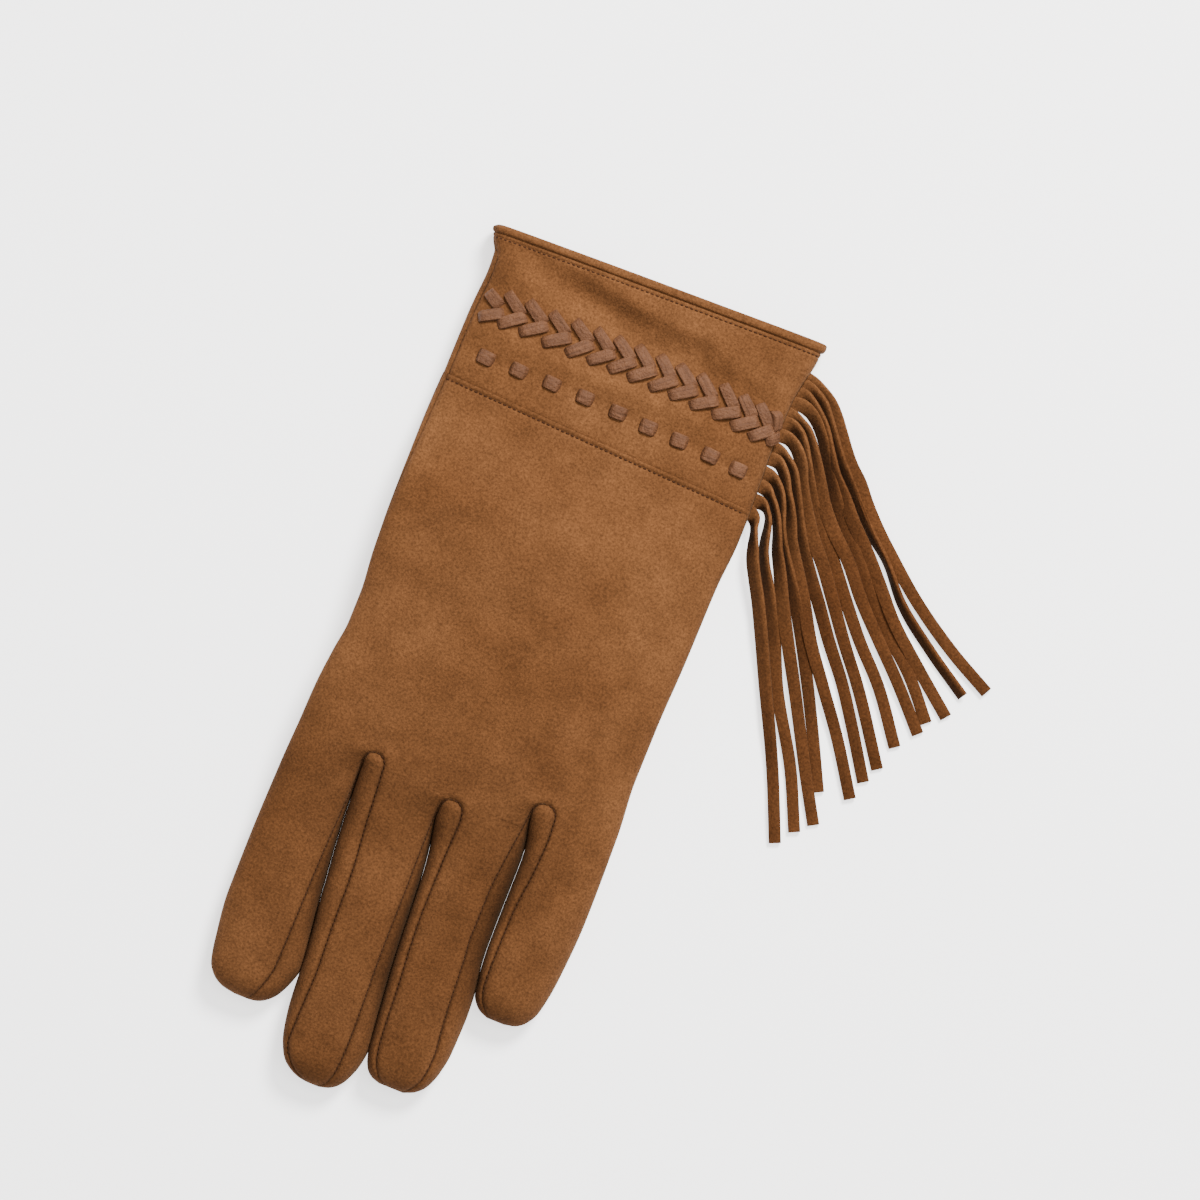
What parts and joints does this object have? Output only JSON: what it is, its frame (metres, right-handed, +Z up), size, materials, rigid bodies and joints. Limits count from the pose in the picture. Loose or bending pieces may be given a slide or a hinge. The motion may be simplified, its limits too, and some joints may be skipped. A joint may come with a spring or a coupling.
{
  "type": "fringed suede glove",
  "caption": "Brown suede gauntlet glove for the left hand, lying palm down, with a cuff trimmed by a braided lace, a running lace and a side fringe.",
  "frame": {"origin": "middle of the footprint on the table", "axes": "+Z up off the table, +Y from the fingertips to the cuff's opening, +X towards the little finger and the fringe"},
  "size_m": [0.1764, 0.2436, 0.0187],
  "materials": {
    "suede": "napped suede",
    "lace": "smooth, slightly waxed"
  },
  "bodies": {
    "root": {"back_panel": "suede", "palm_panel": "suede", "gusset_index_middle": "suede", "gusset_middle_ring": "suede", "gusset_ring_little": "suede", "thumb": "suede", "cuff_back": "suede", "cuff_palm": "suede", "braided_lace": "lace", "running_lace": "lace", "fringe": "suede"}
  },
  "joints": []
}
